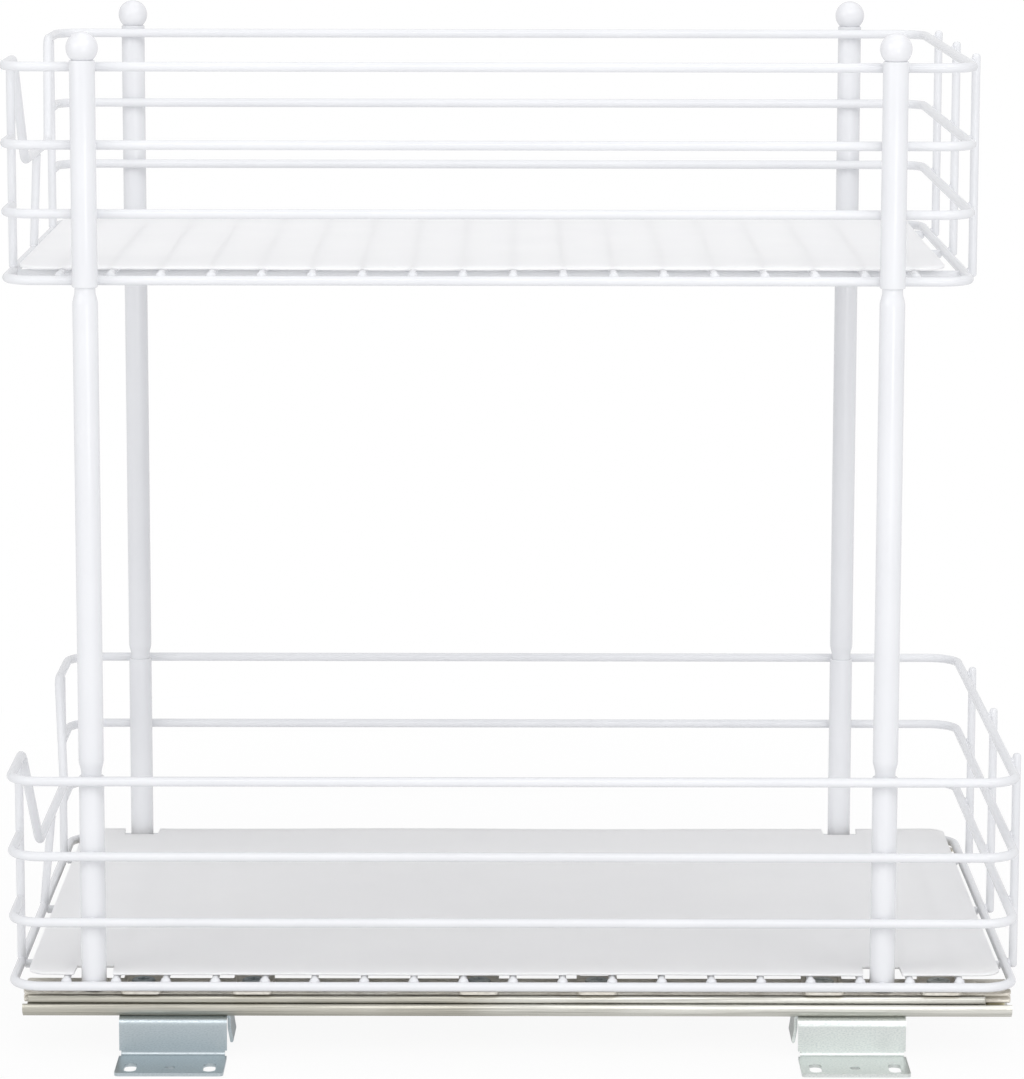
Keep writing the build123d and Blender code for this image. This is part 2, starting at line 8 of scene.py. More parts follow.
import bpy
import numpy as np
from bpy.props import (
    FloatProperty, FloatVectorProperty, IntProperty, PointerProperty, StringProperty)
from bpy.types import Operator, Panel, PropertyGroup
from mathutils import Matrix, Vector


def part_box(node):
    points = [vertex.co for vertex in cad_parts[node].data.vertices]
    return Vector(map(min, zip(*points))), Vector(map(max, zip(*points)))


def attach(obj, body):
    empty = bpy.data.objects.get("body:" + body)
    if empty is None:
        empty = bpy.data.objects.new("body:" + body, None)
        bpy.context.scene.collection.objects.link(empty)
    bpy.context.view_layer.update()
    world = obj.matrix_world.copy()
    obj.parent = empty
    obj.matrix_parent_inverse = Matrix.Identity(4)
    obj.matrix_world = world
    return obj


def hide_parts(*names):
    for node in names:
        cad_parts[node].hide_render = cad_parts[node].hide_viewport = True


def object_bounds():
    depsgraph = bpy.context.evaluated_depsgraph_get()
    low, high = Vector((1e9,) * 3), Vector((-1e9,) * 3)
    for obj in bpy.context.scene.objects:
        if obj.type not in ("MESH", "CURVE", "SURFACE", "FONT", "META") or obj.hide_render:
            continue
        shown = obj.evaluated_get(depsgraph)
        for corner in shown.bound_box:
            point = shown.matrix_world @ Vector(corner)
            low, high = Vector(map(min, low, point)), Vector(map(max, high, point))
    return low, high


bl_info = {
    "name": "Pull-out Wire Organizer",
    "version": (1, 0, 0),
    "blender": (4, 5, 0),
    "location": "View3D > Sidebar > Organizer",
    "description": "Dresses the packed model of a two tier wire organizer and lights it",
    "category": "Object",
}

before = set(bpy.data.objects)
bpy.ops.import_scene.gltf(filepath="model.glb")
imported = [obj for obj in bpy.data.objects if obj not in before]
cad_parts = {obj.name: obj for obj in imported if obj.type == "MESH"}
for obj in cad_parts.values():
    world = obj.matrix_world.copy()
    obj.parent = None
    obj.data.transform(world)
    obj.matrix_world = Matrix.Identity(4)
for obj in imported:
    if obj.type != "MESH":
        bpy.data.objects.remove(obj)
cad_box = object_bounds()
mm = 0.001
tiers = ("lower", "upper")
levels = ("low", "mid")
sides = ("near", "far")
ends = ("front", "rear")
# Signs of the near and the far side along Y.
both = (-1, 1)

# A long straight run gets a ring of points at least this often.
station_gap = 12 * mm
# The coat rounds the sheared ends of the wires by these radii.
sheared_round = 0.3 * mm
cross_round = 0.7 * mm
# The rear uprights end in domes, rounded by this share of their radius.
dome_share = 0.8
# A bar whose direction has more than this share along Z counts as upright.
upright_share = 0.95

# The posts' tubes: wall, rounded lip, and room round a neck or plug pushed into a tube.
tube_wall = 1.0 * mm
tube_lip = 0.45 * mm
insert_gap = 0.05 * mm
# A leg swells from its neck to the full tube between these two distances past a joint.
swage_start = 1.5 * mm
swage_end = 7.5 * mm
# A small flat of this half angle, in radians, closes the crown of a ball cap.
crown_angle = 0.06

# Rings of a weld bead, in degrees above its middle.
bead_tilts = (-78, -40, 0, 40, 78)
# Half lengths of each kind of bead along X, Y and Z, as shares of the weld size.
bead_shares = {
    "crossing": (1.0, 1.0, 0.55),
    "cross foot": (1.2, 1.0, 1.05),
    "floor butt": (0.5, 1.05, 0.95),
    "rail end": (0.95, 0.5, 1.05),
    "front upright": (0.95, 1.1, 0.5),
    "rear upright": (0.5, 1.0, 1.0),
    "post": (1.35, 0.45, 0.95),
}
# The bead at a cross wire's end sits this far inside the end, and above the rim's middle by
# this share of the rim's radius.
foot_inset = 0.2 * mm
foot_height_share = 0.75

# A liner's waves advance by one radian over these lengths along X, along Y and on the slant.
wave_x = 34 * mm
wave_y = 27 * mm
wave_slant = 110 * mm
# The far rear corner curls up by this many ripples, and the near edge droops over this reach.
curl_share = 2.5
droop_reach = 10 * mm
# A notch's side runs between two stations, each this far from its true place.
notch_step = 0.25 * mm
# The long edges of a liner are rounded by this share of its thickness.
edge_round_share = 0.45

# Each softbox: where it stands, and its width and height.
softboxes = {
    "key": ((1.4, -1.6, 2.1), (1.3, 1.3)),
    "fill": ((-1.7, -1.6, 1.1), (1.4, 1.4)),
    "top": ((0.1, 0.3, 2.2), (1.6, 1.6)),
    "front": ((0.0, -2.1, 1.9), (1.2, 1.2)),
    "low": ((0.45, -1.7, 0.22), (0.3, 0.4)),
}


def corners(node):
    """Lowest and highest corner of a node as arrays."""
    low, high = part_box(node)
    return np.array(low), np.array(high)


def centre_of(node):
    """The middle of a node's box."""
    low, high = corners(node)
    return (low + high) / 2


def tier_frame(tier):
    """Centreline places of one basket, read from the boxes of its nodes."""
    rim_low, rim_high = corners(f"{tier}_rim")
    top_low, top_high = corners(f"{tier}_top_rail")
    floor_low, floor_high = corners(f"{tier}_floor_wires")
    cross_low, cross_high = corners(f"{tier}_cross_wires")
    front_low, front_high = corners(f"{tier}_front_uprights")
    rear_low, rear_high = corners(f"{tier}_rear_uprights")
    rail_r = (rim_high[2] - rim_low[2]) / 2
    upright_r = (rear_high[0] - rear_low[0]) / 2
    cross_r = (cross_high[2] - cross_low[2]) / 2
    return {
        "rail_r": rail_r,
        "upright_r": upright_r,
        "cross_r": cross_r,
        "front_x": rim_low[0] + rail_r,
        "rear_x": rim_high[0] - rail_r,
        "half_y": rim_high[1] - rail_r,
        "rim_z": centre_of(f"{tier}_rim")[2],
        "level_z": [centre_of(f"{tier}_{level}_rail")[2] for level in levels],
        "top_z": top_high[2] - rail_r,
        "dip_z": top_low[2] + rail_r,
        "floor_x": (floor_low[0], floor_high[0]),
        "floor_z": centre_of(f"{tier}_floor_wires")[2],
        "wire_y": floor_high[1] - upright_r,
        "cross_x": (cross_low[0] + cross_r, cross_high[0] - cross_r),
        "cross_y": cross_high[1],
        "cross_z": centre_of(f"{tier}_cross_wires")[2],
        "front_z": (front_low[2], front_high[2]),
        "rear_wire_x": centre_of(f"{tier}_rear_uprights")[0],
        "rear_z": (rear_low[2], rear_high[2]),
    }


places = {tier: tier_frame(tier) for tier in tiers}


class WireSettings(PropertyGroup):
    """Bent shape of the coated wires and cut shape of the liners."""

    corner_radius: FloatProperty(
        name="Corner radius", description="Bend of the rails at the basket's corners",
        default=14 * mm, min=5 * mm, max=40 * mm, subtype="DISTANCE", unit="LENGTH")
    dip_radius: FloatProperty(
        name="Dip bend radius", description="Bends of the top rail at its front dip",
        default=9 * mm, min=4 * mm, max=20 * mm, subtype="DISTANCE", unit="LENGTH")
    shoulder_share: FloatProperty(
        name="Dip shoulder", description="Where the dip starts, as a share of the half width",
        default=0.60, min=0.3, max=0.9, subtype="FACTOR")
    dip_floor_share: FloatProperty(
        name="Dip floor", description="Half the dip's floor, as a share of the half width",
        default=0.41, min=0.1, max=0.6, subtype="FACTOR")
    lower_lean: FloatProperty(
        name="Lower dip lean", description="How far the lower dip is pushed inward",
        default=4.5 * mm, min=0, max=10 * mm, subtype="DISTANCE", unit="LENGTH")
    upper_lean: FloatProperty(
        name="Upper dip lean", description="How far the upper dip is pushed inward",
        default=2.0 * mm, min=0, max=10 * mm, subtype="DISTANCE", unit="LENGTH")
    lower_crosses: IntProperty(
        name="Lower cross wires", description="Cross wires in the lower floor",
        default=19, min=2, max=60)
    upper_crosses: IntProperty(
        name="Upper cross wires", description="Cross wires in the upper floor",
        default=18, min=2, max=60)
    weld_size: FloatProperty(
        name="Weld size", description="Half width of a weld bead under the coat",
        default=2.1 * mm, min=0.5 * mm, max=4 * mm, subtype="DISTANCE", unit="LENGTH")
    liner_corner: FloatProperty(
        name="Liner corner", description="Corner radius of the plastic liners",
        default=9 * mm, min=1 * mm, max=30 * mm, subtype="DISTANCE", unit="LENGTH")
    liner_shift: FloatProperty(
        name="Liner shift", description="How far the upper liner lies out over its near side",
        default=5 * mm, min=0, max=12 * mm, subtype="DISTANCE", unit="LENGTH")
    liner_droop: FloatProperty(
        name="Liner droop", description="How far the near edge of the upper liner hangs down",
        default=0.7 * mm, min=0, max=1 * mm, subtype="DISTANCE", unit="LENGTH")
    liner_ripple: FloatProperty(
        name="Liner ripple", description="Height of the waves in the plastic liners",
        default=0.25 * mm, min=0, max=2 * mm, subtype="DISTANCE", unit="LENGTH")
    notch_width: FloatProperty(
        name="Notch width", description="Width of the notches that let the posts through",
        default=17 * mm, min=12 * mm, max=30 * mm, subtype="DISTANCE", unit="LENGTH")
    notch_gap: FloatProperty(
        name="Notch gap", description="Room between a post and the inner end of its notch",
        default=3 * mm, min=0, max=20 * mm, subtype="DISTANCE", unit="LENGTH")


class FinishSettings(PropertyGroup):
    """Colours of the finishes, as sRGB hex values."""

    coat: StringProperty(
        name="Powder coat", description="White powder coat of the wires", default="EFF0F2")
    cap: StringProperty(
        name="Ball cap", description="White moulded ball caps", default="F5F5F7")
    liner: StringProperty(
        name="Liner", description="Polypropylene sheet of the liners", default="F8F8F8")
    zinc_warm: StringProperty(
        name="Slide zinc", description="Bright zinc on the slides", default="C6C3B8")
    # Painted light: this zinc is paler than the other slide zinc, to stand in for light in the
    # shaded gap under the liners.
    zinc_painted_light: StringProperty(
        name="Tab zinc", description="Matte zinc on the inner rails and tabs", default="E4DFD4")
    zinc_cool: StringProperty(
        name="Bracket zinc", description="Blue passivated zinc", default="BFC8CC")
    bumper: StringProperty(
        name="Bumper", description="Cream plastic of the stops", default="DAD2AE")
    steel: StringProperty(
        name="Balls", description="Polished bearing steel", default="C8C8C8")


class StudioSettings(PropertyGroup):
    """Camera and lamps."""

    camera_place: FloatVectorProperty(
        name="Camera", description="Where the camera stands", size=3,
        default=(-4.725 * mm, -2141.7 * mm, 567.35 * mm), subtype="XYZ", unit="LENGTH")
    camera_tilt: FloatProperty(
        name="Tilt", description="How far the camera looks down",
        default=0.1651, subtype="ANGLE", unit="ROTATION")
    camera_turn: FloatProperty(
        name="Turn", description="How far the camera looks aside",
        default=-0.001, subtype="ANGLE", unit="ROTATION")
    camera_roll: FloatProperty(
        name="Roll", description="How far the camera leans",
        default=0.0018, subtype="ANGLE", unit="ROTATION")
    lens: FloatProperty(
        name="Lens", description="Focal length for a 36 mm wide sensor, in millimetres",
        default=162.41, min=20, max=400)
    room_light: FloatProperty(
        name="Room light", description="Even light from all round", default=0.68, min=0, max=2)
    key_power: FloatProperty(
        name="Key softbox", description="Power of the softbox on the right",
        default=11, min=0, unit="POWER")
    fill_power: FloatProperty(
        name="Fill softbox", description="Power of the softbox on the left",
        default=9, min=0, unit="POWER")
    top_power: FloatProperty(
        name="Top softbox", description="Power of the softbox overhead",
        default=6, min=0, unit="POWER")
    front_power: FloatProperty(
        name="Front softbox", description="Power of the softbox in front",
        default=10, min=0, unit="POWER")
    low_power: FloatProperty(
        name="Low softbox", description="Power of the low softbox that shines back from the posts",
        default=2, min=0, unit="POWER")


def unit(vector):
    """The vector at a length of one."""
    return vector / np.linalg.norm(vector)


def path_along(points, radius, closed, steps=10):
    """Points and directions of straight runs joined by tangent arcs.

    At a corner with unit directions u in and v out and a turn t, the arc starts
    r tan(t / 2) before the corner; its points are centre - r cos(a) n + r sin(a) u, with n
    the unit vector from the arc's start to its centre. The radius is either one for all the
    corners or a list with one for each point.
    """
    points = np.asarray(points, float)
    count = len(points)
    spots = []
    ways = []
    if not closed:
        spots.append(points[:1])
        ways.append(unit(points[1] - points[0])[None])
    for index in range(count) if closed else range(1, count - 1):
        corner = points[index]
        way_in = unit(corner - points[index - 1])
        way_out = unit(points[(index + 1) % count] - corner)
        bend = radius[index] if np.ndim(radius) else radius
        turn = math.acos(np.clip(way_in @ way_out, -1, 1))
        inward = unit(way_out - (way_out @ way_in) * way_in)
        start = corner - way_in * bend * math.tan(turn / 2)
        angle = np.linspace(0, turn, steps + 1)[:, None]
        spots.append(start + bend * ((1 - np.cos(angle)) * inward + np.sin(angle) * way_in))
        ways.append(np.cos(angle) * way_in + np.sin(angle) * inward)
    if not closed:
        spots.append(points[-1:])
        ways.append(unit(points[-1] - points[-2])[None])
    return np.concatenate(spots), np.concatenate(ways)


def even_runs(spots, ways, closed, step):
    """Adds stations to long runs: start + k / n (next - start), with n the run over the step."""
    count = len(spots) if closed else len(spots) - 1
    run = (np.roll(spots, -1, 0) - spots)[:count]
    turn = (np.roll(ways, -1, 0) - ways)[:count]
    parts = np.maximum(1, np.ceil(np.linalg.norm(run, axis=1) / step)).astype(int)
    index = np.repeat(np.arange(count), parts)
    share = (np.arange(len(index)) - (np.cumsum(parts) - parts)[index]) / parts[index]
    filled = spots[index] + share[:, None] * run[index]
    facing = ways[index] + share[:, None] * turn[index]
    if closed:
        return filled, facing
    return np.concatenate([filled, spots[-1:]]), np.concatenate([facing, ways[-1:]])


def tube(spots, ways, radius, closed, round_end=0.0, facets=20, end_rings=5):
    """A round bar: ring = spot + r (cos a n + sin a b), n and b square to the way.

    With round_end e, each end gets rings at distance e (1 - sin f) from the end with
    radius r - e + e cos f, f from 0 to a right angle, so its edge is rounded.
    """
    spots, ways = even_runs(spots, ways, closed, station_gap)
    scale = np.full(len(spots), radius)
    if round_end:
        fall = np.linspace(0, math.pi / 2, end_rings)
        inset = round_end * (1 - np.sin(fall))
        shrink = radius - round_end + round_end * np.cos(fall)
        head = spots[0] + ways[0] * inset[::-1, None]
        tail = spots[-1] - ways[-1] * inset[:, None]
        spots = np.concatenate([head, spots[1:-1], tail])
        ways = np.concatenate([
            np.repeat(ways[:1], end_rings, 0), ways[1:-1], np.repeat(ways[-1:], end_rings, 0)])
        scale = np.concatenate([shrink[::-1], scale[1:-1], shrink])
    # The rings start square to Z, or to X on an upright bar.
    upright = abs(ways[:, 2]).max() > upright_share
    reference = np.array([1.0, 0, 0]) if upright else np.array([0, 0, 1.0])
    across = np.cross(ways, reference)
    across /= np.linalg.norm(across, axis=1, keepdims=True)
    over = np.cross(ways, across)
    angle = np.linspace(0, 2 * math.pi, facets, endpoint=False)[None, :, None]
    ring = np.cos(angle) * across[:, None] + np.sin(angle) * over[:, None]
    return grid(spots[:, None] + scale[:, None, None] * ring, closed, not closed)


def straight(start, end, radius, round_end, facets=18):
    """A straight wire with rounded ends."""
    line = np.array([start, end], float)
    way = unit(line[1] - line[0])
    return tube(line, np.array([way, way]), radius, False, round_end, facets)


def grid(verts, closed_rows=False, capped=False):
    """Faces of a grid of rings, each ring closed on itself, with flat caps if asked."""
    rows, columns = verts.shape[:2]
    index = np.arange(rows * columns).reshape(rows, columns)
    lower = index if closed_rows else index[:-1]
    upper = np.roll(index, -1, 0) if closed_rows else index[1:]
    quads = np.stack([lower, np.roll(lower, -1, 1), np.roll(upper, -1, 1), upper], -1)
    caps = [index[0][::-1], index[-1]] if capped else []
    return verts.reshape(-1, 3), quads.reshape(-1, 4), caps


def turned(profile, centre, facets=48, closed_profile=True):
    """A turned piece: (r cos a, r sin a, z) for each (r, z) of the profile."""
    profile = np.asarray(profile, float)
    angle = np.linspace(0, 2 * math.pi, facets, endpoint=False)
    verts = np.empty((len(profile), facets, 3))
    verts[..., 0] = centre[0] + profile[:, :1] * np.cos(angle)
    verts[..., 1] = centre[1] + profile[:, :1] * np.sin(angle)
    verts[..., 2] = profile[:, 1:]
    return grid(verts, closed_profile, not closed_profile)


def beads(centres, half, facets=10):
    """Flattened balls: centre + cos f (cos a A + sin a B) + sin f C, A, B and C the half axes."""
    centres = np.asarray(centres, float)
    along, across, up = np.diag(half)
    tilt = np.radians(bead_tilts)[:, None, None]
    angle = np.linspace(0, 2 * math.pi, facets, endpoint=False)[:, None]
    shell = np.cos(tilt) * (np.cos(angle) * along + np.sin(angle) * across) + np.sin(tilt) * up
    return [grid(ball, False, True) for ball in centres[:, None, None] + shell]


def make_piece(name, shells, material, body, replaced=(), sharp=40):
    """One mesh from several shells, smooth but for its sharp edges, riding on a body."""
    verts = []
    faces = []
    offset = 0
    for shell_verts, quads, caps in shells:
        verts.append(shell_verts)
        faces.extend((quads + offset).tolist())
        faces.extend((cap + offset).tolist() for cap in caps)
        offset += len(shell_verts)
    mesh = bpy.data.meshes.new(name)
    mesh.from_pydata(np.concatenate(verts).tolist(), [], faces)
    mesh.polygons.foreach_set("use_smooth", np.ones(len(mesh.polygons), bool))
    mesh.set_sharp_from_angle(angle=math.radians(sharp))
    mesh.materials.append(material)
    mesh.update()
    piece = bpy.data.objects.new(name, mesh)
    bpy.context.scene.collection.objects.link(piece)
    if replaced:
        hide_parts(*replaced)
    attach(piece, body)


def colour(value):
    """An sRGB hex value as linear red, green, blue and alpha."""
    channels = [int(value[place:place + 2], 16) / 255 for place in (0, 2, 4)]
    linear = [c / 12.92 if c <= 0.04045 else ((c + 0.055) / 1.055) ** 2.4 for c in channels]
    return (*linear, 1.0)


def add_node(tree, kind, inputs=None, **fields):
    """Adds a node, sets its fields, and links or sets each of the inputs by name or number."""
    node = tree.nodes.new(kind)
    for name, value in fields.items():
        setattr(node, name, value)
    for key, value in (inputs or {}).items():
        if isinstance(value, bpy.types.NodeSocket):
            tree.links.new(value, node.inputs[key])
        else:
            node.inputs[key].default_value = value
    return node


def empty_material(name):
    """A new material with nothing in its tree."""
    made = bpy.data.materials.new(name)
    made.use_nodes = True
    made.node_tree.nodes.clear()
    return made, made.node_tree


def powder_coat(chosen):
    """Polyester powder coat, baked on steel: even and glossy, with faint waves of melted powder."""
    made, tree = empty_material("white_polyester_powder_coat")
    place = add_node(tree, "ShaderNodeTexCoord").outputs["Object"]
    # The waves of melted powder are about 4 mm apart.
    waves = add_node(
        tree, "ShaderNodeTexNoise", {"Vector": place, "Scale": 1 / (4 * mm), "Detail": 1.0})
    bumps = add_node(tree, "ShaderNodeBump", {
        "Height": waves.outputs["Fac"], "Strength": 0.05, "Distance": 0.06 * mm})
    # The coat lies thinner or thicker over some centimetres.
    cover = add_node(
        tree, "ShaderNodeTexNoise", {"Vector": place, "Scale": 1 / (38 * mm), "Detail": 1.5})
    tint = add_node(tree, "ShaderNodeMix", {
        0: cover.outputs["Fac"], 6: colour("E6E7EA"), 7: colour(chosen.coat)}, data_type="RGBA")
    gloss = add_node(tree, "ShaderNodeMapRange", {
        "Value": cover.outputs["Fac"], "To Min": 0.18, "To Max": 0.28})
    body = add_node(tree, "ShaderNodeBsdfPrincipled", {
        "Base Color": tint.outputs[2], "Roughness": gloss.outputs["Result"],
        "Normal": bumps.outputs["Normal"], "IOR": 1.5})
    add_node(tree, "ShaderNodeOutputMaterial", {"Surface": body.outputs["BSDF"]})
    return made


def zinc_plate(name, base, film, film_size, painted_light_slope, dark, depth, streak, roughness):
    """Zinc plate on steel: fine drawn streaks along X under a thin colour film.

    The streak is how far one drawn line runs before it fades; a short one gives pressed
    sheet its mottled crystals instead, and ground balls their faint marks. The dark colour
    shows in the streaks by the share depth. On top of the film's random patches, the colour
    turns towards the film colour along +X by the slope, as a share per metre: this is
    painted light, which makes the rear side lighter.
    """
    made, tree = empty_material(name)
    place = add_node(tree, "ShaderNodeTexCoord").outputs["Object"]
    # Drawn lines are finer than this in truth; at half a millimetre they just show.
    line_gap = 0.5 * mm
    drawn = add_node(tree, "ShaderNodeMapping", {
        "Vector": place, "Scale": (1 / streak, 1 / line_gap, 1 / line_gap)})
    grain = add_node(tree, "ShaderNodeTexNoise", {
        "Vector": drawn.outputs["Vector"], "Scale": 1.0, "Detail": 3.0})
    cloud = add_node(
        tree, "ShaderNodeTexNoise", {"Vector": place, "Scale": 1 / film_size, "Detail": 2.0})
    axes = add_node(tree, "ShaderNodeSeparateXYZ", {"Vector": place})
    # Random film patches, plus painted light that grows towards +X by the slope.
    film_and_painted_light = add_node(tree, "ShaderNodeMath", {
        0: axes.outputs["X"], 1: painted_light_slope, 2: cloud.outputs["Fac"]}, operation="MULTIPLY_ADD")
    mask = add_node(tree, "ShaderNodeMapRange", {
        "Value": film_and_painted_light.outputs["Value"], "From Min": 0.3, "From Max": 0.7})
    tint = add_node(tree, "ShaderNodeMix", {
        0: mask.outputs["Result"], 6: colour(base), 7: colour(film)}, data_type="RGBA")
    line = add_node(tree, "ShaderNodeMapRange", {
        "Value": grain.outputs["Fac"], "From Min": 0.42, "From Max": 0.68, "To Max": depth})
    worn = add_node(tree, "ShaderNodeMix", {
        0: line.outputs["Result"], 6: tint.outputs[2], 7: colour(dark)}, data_type="RGBA")
    matte = add_node(tree, "ShaderNodeMapRange", {
        "Value": grain.outputs["Fac"], "From Min": 0.3, "From Max": 0.7,
        "To Min": roughness - 0.08, "To Max": roughness + 0.1})
    bumps = add_node(tree, "ShaderNodeBump", {
        "Height": grain.outputs["Fac"], "Strength": 0.2, "Distance": 0.03 * mm})
    body = add_node(tree, "ShaderNodeBsdfPrincipled", {
        "Base Color": worn.outputs[2], "Roughness": matte.outputs["Result"],
        "Normal": bumps.outputs["Normal"], "Metallic": 1.0})
    add_node(tree, "ShaderNodeOutputMaterial", {"Surface": body.outputs["BSDF"]})
    return made


def rail_zinc(chosen):
    """Bright zinc on the drawn rails: long streaks and a faint straw film."""
    # The slope paints light along the rails, so they turn paler towards the rear.
    return zinc_plate(
        "bright_zinc_drawn_rail", chosen.zinc_warm, film="E6E5DE", film_size=60 * mm, painted_light_slope=1.2,
        dark="85837A", depth=0.6, streak=60 * mm, roughness=0.42)


def strip_zinc(chosen):
    """Zinc on the inner rails and pressed tabs: more matte than on the other rails, and painted
    paler to stand in for light in the shade under the liners.
    """
    return zinc_plate(
        "matte_zinc_pressed_strip", chosen.zinc_painted_light, film="ECE9E2", film_size=20 * mm, painted_light_slope=0,
        dark="B4AEA2", depth=0.35, streak=3 * mm, roughness=0.6)


def bracket_zinc(chosen):
    """Blue passivated zinc on pressed sheet: mottled by crystals, with painted light making the
    rear pair paler.
    """
    return zinc_plate(
        "blue_passivated_zinc_sheet", chosen.zinc_cool, film="DADEDB", film_size=12 * mm,
        painted_light_slope=2.5, dark="7F929A", depth=0.25, streak=1 * mm, roughness=0.36)


def ball_steel(chosen):
    """Bearing steel, ground and polished: short faint streaks, and it mirrors its race."""
    return zinc_plate(
        "polished_bearing_steel", chosen.steel, film="D6D6D6", film_size=4 * mm, painted_light_slope=0,
        dark="9A9A9A", depth=0.2, streak=1 * mm, roughness=0.14)


def plastic(name, base, shade, cloud_size, skin_size, skin_depth, roughness, ior, glow=0.0):
    """Thermoplastic, moulded or rolled to sheet: a fine matte skin and a faint cloudy shade.

    The glow is the share of light that goes in and scatters, which lights a thin sheet from behind.
    """
    made, tree = empty_material(name)
    place = add_node(tree, "ShaderNodeTexCoord").outputs["Object"]
    skin = add_node(
        tree, "ShaderNodeTexNoise", {"Vector": place, "Scale": 1 / skin_size, "Detail": 2.0})
    bumps = add_node(tree, "ShaderNodeBump", {
        "Height": skin.outputs["Fac"], "Strength": 0.3, "Distance": skin_depth})
    cloud = add_node(
        tree, "ShaderNodeTexNoise", {"Vector": place, "Scale": 1 / cloud_size, "Detail": 2.0})
    tint = add_node(tree, "ShaderNodeMix", {
        0: cloud.outputs["Fac"], 6: colour(shade), 7: colour(base)}, data_type="RGBA")
    body = add_node(tree, "ShaderNodeBsdfPrincipled", {
        "Base Color": tint.outputs[2], "Normal": bumps.outputs["Normal"],
        "Roughness": roughness, "IOR": ior, "Subsurface Weight": glow,
        "Subsurface Radius": (1, 1, 1), "Subsurface Scale": 3 * mm})
    add_node(tree, "ShaderNodeOutputMaterial", {"Surface": body.outputs["BSDF"]})
    return made


def cap_plastic(chosen):
    """Polyethylene ball caps, moulded: smooth and softly glossy."""
    return plastic(
        "moulded_polyethylene_cap", chosen.cap, shade="E4E5E8", cloud_size=9 * mm,
        skin_size=0.6 * mm, skin_depth=0.02 * mm, roughness=0.22, ior=1.5)


def liner_plastic(chosen):
    """Polypropylene liners, rolled to sheet: matte, and light shines some way into them."""
    return plastic(
        "rolled_polypropylene_sheet", chosen.liner, shade="F1F1F2", cloud_size=55 * mm,
        skin_size=0.8 * mm, skin_depth=0.04 * mm, roughness=0.5, ior=1.49, glow=0.8)


def bumper_plastic(chosen):
    """Acetal stops, moulded in cream: satin, with a faint cloud."""
    return plastic(
        "moulded_cream_acetal", chosen.bumper, shade="B9B08C", cloud_size=5 * mm,
        skin_size=0.5 * mm, skin_depth=0.03 * mm, roughness=0.42, ior=1.48)


recipes = {
    "coat": powder_coat,
    "rail": rail_zinc,
    "strip": strip_zinc,
    "bracket": bracket_zinc,
    "ball": ball_steel,
    "cap": cap_plastic,
    "liner": liner_plastic,
    "bumper": bumper_plastic,
}
made_finishes = {}


def finish(kind):
    """The finish of that kind, made on its first use."""
    if kind not in made_finishes:
        made_finishes[kind] = recipes[kind](bpy.context.scene.organizer_finish)
    return made_finishes[kind]


def dress(node, kind):
    """Gives its finish to a node that is shown as it is."""
    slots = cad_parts[node].data.materials
    if not len(slots):
        slots.append(None)
    for index in range(len(slots)):
        slots[index] = finish(kind)


def basket_plan(tier):
    """The places of one basket, the lean of its dip and the number of its cross wires."""
    wires = bpy.context.scene.organizer_wires
    lean = wires.lower_lean if tier == "lower" else wires.upper_lean
    count = wires.lower_crosses if tier == "lower" else wires.upper_crosses
    return places[tier], lean, count


def bent_rail(node, route, radii, radius, closed):
    """A rail bent from round wire along its route, in place of its node."""
    shell = tube(*path_along(route, radii, closed), radius, closed)
    make_piece(f"{node}_wire", [shell], finish("coat"), "basket", [node])


class ORGANIZER_OT_rails(Operator):
    """Makes the rim and the three rails of each basket"""

    bl_idname = "organizer.rails"
    bl_label = "Rails"

    def execute(self, context):
        wires = context.scene.organizer_wires
        corner, bend = wires.corner_radius, wires.dip_radius
        for tier in tiers:
            spot, lean, _ = basket_plan(tier)
            front, rear, half = spot["front_x"], spot["rear_x"], spot["half_y"]
            rail_r = spot["rail_r"]
            loop = ((rear, half), (front, half), (front, -half), (rear, -half))
            rim = [(x, y, spot["rim_z"]) for x, y in loop]
            bent_rail(f"{tier}_rim", rim, corner, rail_r, True)
            # These two rails are open at the front, where they end on the outer uprights.
            tip = spot["wire_y"] + spot["upright_r"]
            open_loop = (
                (front, tip), (front, half), (rear, half),
                (rear, -half), (front, -half), (front, -tip))
            for level, level_z in zip(levels, spot["level_z"]):
                route = [(x, y, level_z) for x, y in open_loop]
                bent_rail(f"{tier}_{level}_rail", route, corner, rail_r, False)
            top, dip = spot["top_z"], spot["dip_z"]
            shoulder = wires.shoulder_share * half
            flat = wires.dip_floor_share * half
            route = [
                (rear, half, top), (front, half, top),
                (front, shoulder, top), (front + lean, flat, dip),
                (front + lean, -flat, dip), (front, -shoulder, top),
                (front, -half, top), (rear, -half, top)]
            radii = [corner, corner, bend, bend, bend, bend, corner, corner]
            bent_rail(f"{tier}_top_rail", route, radii, rail_r, True)
        return {"FINISHED"}


